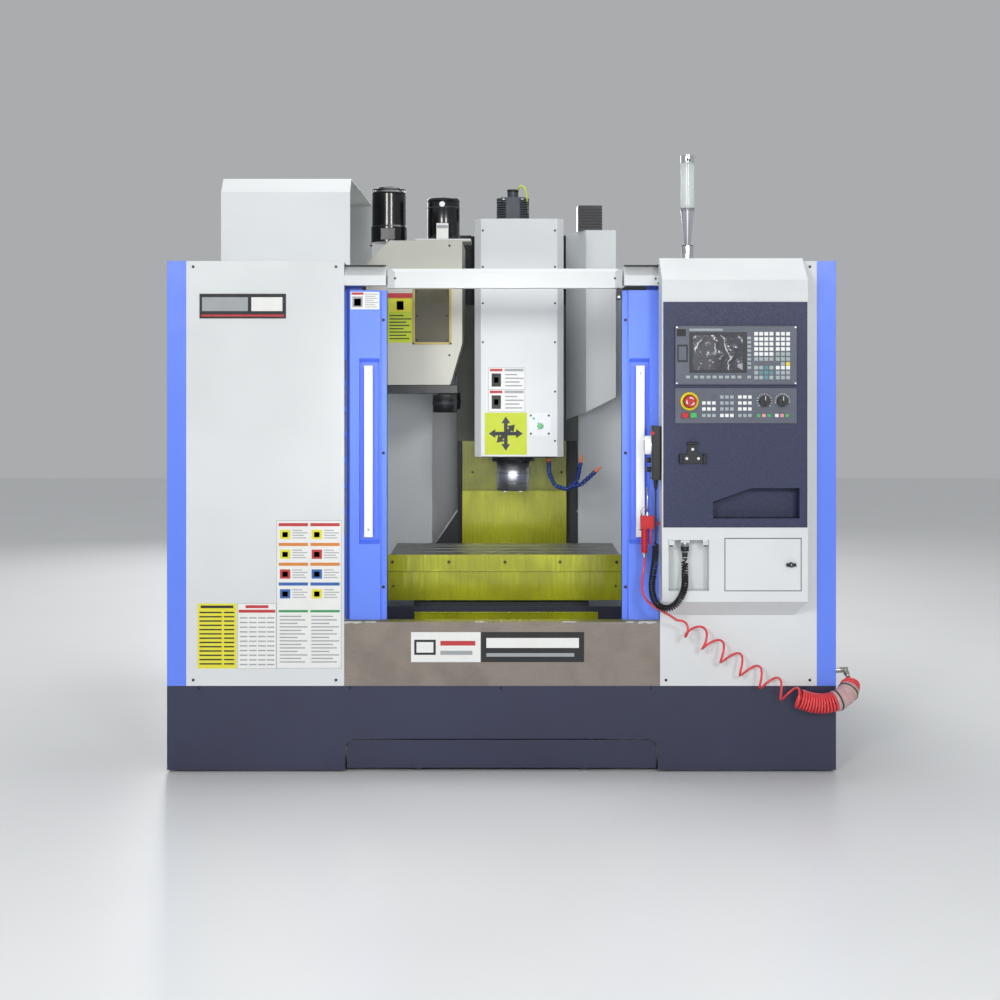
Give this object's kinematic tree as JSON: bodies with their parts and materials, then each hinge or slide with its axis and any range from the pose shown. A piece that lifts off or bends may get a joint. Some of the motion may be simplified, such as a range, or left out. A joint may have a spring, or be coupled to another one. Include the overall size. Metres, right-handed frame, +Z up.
{
  "type": "cnc machining center",
  "caption": "Vertical machining centre with open double doors, table on cross slides, spindle head, side tool magazine with swing arm, control console and coiled air hose.",
  "frame": {"origin": "on the floor under the middle of the machine", "axes": "+X to the operator's right, +Y into the machine from the front, +Z up"},
  "size_m": [2.3907, 2.2, 2.125],
  "materials": {
    "white_paint": "fine smooth powder coat",
    "blue_paint": "gloss sheet paint",
    "base_paint": "dark blue-grey textured paint",
    "casting_paint": "dark painted casting",
    "machined_iron": "ground iron",
    "stainless": "brushed stainless sheet",
    "film_steel": "stainless sheet under yellow protective film",
    "bright_steel": "ground and polished steel",
    "beige_paint": "satin light beige paint",
    "panel_paint": "hammer-texture dark blue paint",
    "grey_plastic": "moulded grey plastic",
    "black_plastic": "moulded black plastic",
    "black_gloss": "gloss black",
    "white_plastic": "white plastic",
    "red_plastic": "red plastic",
    "green_plastic": "green plastic",
    "clear_lens": "clear moulded lens",
    "red_hose": "red polyurethane hose",
    "black_cable": "black cable jacket",
    "jointed_hose": "blue jointed pipe with orange tips",
    "motor_grey": "dark grey motor paint"
  },
  "bodies": {
    "enclosure": {"air_gun": "red_plastic", "air_hose_coil": "red_hose", "air_hose_lead": "red_hose", "atc_cam_box": "casting_paint", "base_skirt": "base_paint", "bed_casting": "casting_paint", "chip_guard": "base_paint", "column_casting": "casting_paint", "column_side_cover": "white_paint", "console_box": "white_paint", "control_unit": "grey_plastic", "corner_posts": "blue_paint", "display_unit": "grey_plastic", "door_track": "machined_iron", "drive_motors": "black_gloss", "electrical_cabinet": "white_paint", "front_panels": "white_paint", "front_sill": "stainless", "header_beam": "white_paint", "inner_liners": "white_paint", "levelling_feet": "machined_iron", "magazine_cover": "beige_paint", "oil_canister": "black_gloss", "operator_panel": "panel_paint", "pendant_body": "black_plastic", "pendant_cable_coil": "black_cable", "pendant_cable_lead": "black_cable", "rear_panel": "white_paint", "roof_hood": "white_paint", "shield_plates": "film_steel", "side_panels": "white_paint", "tower_lens": "clear_lens", "tower_metal": "bright_steel"},
    "tank": {"coolant_tank": "base_paint"},
    "saddle": {"saddle": "casting_paint"},
    "table": {"table": "machined_iron", "table_guard": "film_steel"},
    "head": {"head_casting": "machined_iron", "head_cover": "white_paint", "spindle_motor": "motor_grey", "coolant_hoses": "jointed_hose"},
    "spindle": {"spindle_shaft": "bright_steel"},
    "drum": {"tool_drum": "grey_plastic"},
    "quill": {"atc_quill": "bright_steel"},
    "swing_arm": {"atc_arm": "black_plastic"},
    "left_door": {"left_door": "blue_paint", "left_door_handle": "white_plastic"},
    "right_door": {"right_door": "blue_paint", "right_door_handle": "white_plastic"},
    "store_door": {"store_door": "white_paint"},
    "store_lock": {"store_lock": "black_plastic"},
    "stop_button": {"stop_button": "red_plastic"},
    "red_key": {"red_key": "red_plastic"},
    "green_key": {"green_key": "green_plastic"},
    "feed_dial": {"feed_dial": "black_plastic"},
    "speed_dial": {"speed_dial": "black_plastic"},
    "pendant_wheel": {"pendant_wheel": "white_plastic"},
    "axis_selector": {"axis_selector": "black_plastic"},
    "rate_selector": {"rate_selector": "black_plastic"},
    "gun_trigger": {"gun_trigger": "red_plastic"}
  },
  "joints": [
    {"name": "tank_slide", "type": "slide", "parent": "enclosure", "child": "tank", "axis": [0, -1, 0], "range_m": [0, 0.6]},
    {"name": "saddle_slide", "type": "slide", "parent": "enclosure", "child": "saddle", "axis": [0, 1, 0], "range_m": [-0.045, 0.355]},
    {"name": "table_slide", "type": "slide", "parent": "saddle", "child": "table", "axis": [1, 0, 0], "range_m": [-0.3, 0.35]},
    {"name": "head_slide", "type": "slide", "parent": "enclosure", "child": "head", "axis": [0, 0, 1], "range_m": [-0.1, 0.39]},
    {"name": "spindle_spin", "type": "hinge", "parent": "head", "child": "spindle", "pos_m": [0.045, -0.077, 0.907], "axis": [0, 0, 1], "continuous": true},
    {"name": "drum_spin", "type": "hinge", "parent": "enclosure", "child": "drum", "pos_m": [-0.478, -0.037, 1.604], "axis": [1, 0, 0], "continuous": true},
    {"name": "quill_drop", "type": "slide", "parent": "enclosure", "child": "quill", "axis": [0, 0, -1], "range_m": [0, 0.115]},
    {"name": "arm_swing", "type": "hinge", "parent": "quill", "child": "swing_arm", "pos_m": [-0.216, -0.077, 1.225], "axis": [0, 0, 1], "range_deg": [-10, 10]},
    {"name": "left_door_slide", "type": "slide", "parent": "enclosure", "child": "left_door", "axis": [1, 0, 0], "range_m": [0, 0.404]},
    {"name": "right_door_slide", "type": "slide", "parent": "enclosure", "child": "right_door", "axis": [-1, 0, 0], "range_m": [0, 0.404]},
    {"name": "store_hinge", "type": "hinge", "parent": "enclosure", "child": "store_door", "pos_m": [0.7526, -1.0575, 0.728], "axis": [0, 0, -1], "range_deg": [0, 110]},
    {"name": "store_lock_turn", "type": "hinge", "parent": "store_door", "child": "store_lock", "pos_m": [0.973, -1.057, 0.7285], "axis": [0, 1, 0], "range_deg": [0, 90]},
    {"name": "stop_push", "type": "slide", "parent": "enclosure", "child": "stop_button", "axis": [0, 1, 0], "range_m": [0, 0.005]},
    {"name": "red_push", "type": "slide", "parent": "enclosure", "child": "red_key", "axis": [0, 1, 0], "range_m": [0, 0.004], "stiffness_N_per_m": 400, "springref_m": -0.002},
    {"name": "green_push", "type": "slide", "parent": "enclosure", "child": "green_key", "axis": [0, 1, 0], "range_m": [0, 0.004], "stiffness_N_per_m": 400, "springref_m": -0.002},
    {"name": "feed_turn", "type": "hinge", "parent": "enclosure", "child": "feed_dial", "pos_m": [0.883, -1.066, 1.279], "axis": [0, -1, 0], "range_deg": [-150, 150]},
    {"name": "speed_turn", "type": "hinge", "parent": "enclosure", "child": "speed_dial", "pos_m": [0.943, -1.066, 1.279], "axis": [0, -1, 0], "range_deg": [-100, 100]},
    {"name": "pendant_spin", "type": "hinge", "parent": "enclosure", "child": "pendant_wheel", "pos_m": [0.508, -1.007, 1.128], "axis": [-1, 0, 0], "continuous": true},
    {"name": "axis_select", "type": "hinge", "parent": "enclosure", "child": "axis_selector", "pos_m": [0.508, -1.007, 1.077], "axis": [-1, 0, 0], "range_deg": [-60, 60]},
    {"name": "rate_select", "type": "hinge", "parent": "enclosure", "child": "rate_selector", "pos_m": [0.508, -1.007, 1.046], "axis": [-1, 0, 0], "range_deg": [-45, 45]},
    {"name": "trigger_pull", "type": "hinge", "parent": "enclosure", "child": "gun_trigger", "pos_m": [0.508, -0.987, 0.861], "axis": [0, 1, 0], "range_deg": [0, 5], "stiffness_Nm_per_rad": 0.05, "springref_deg": -5.73}
  ]
}
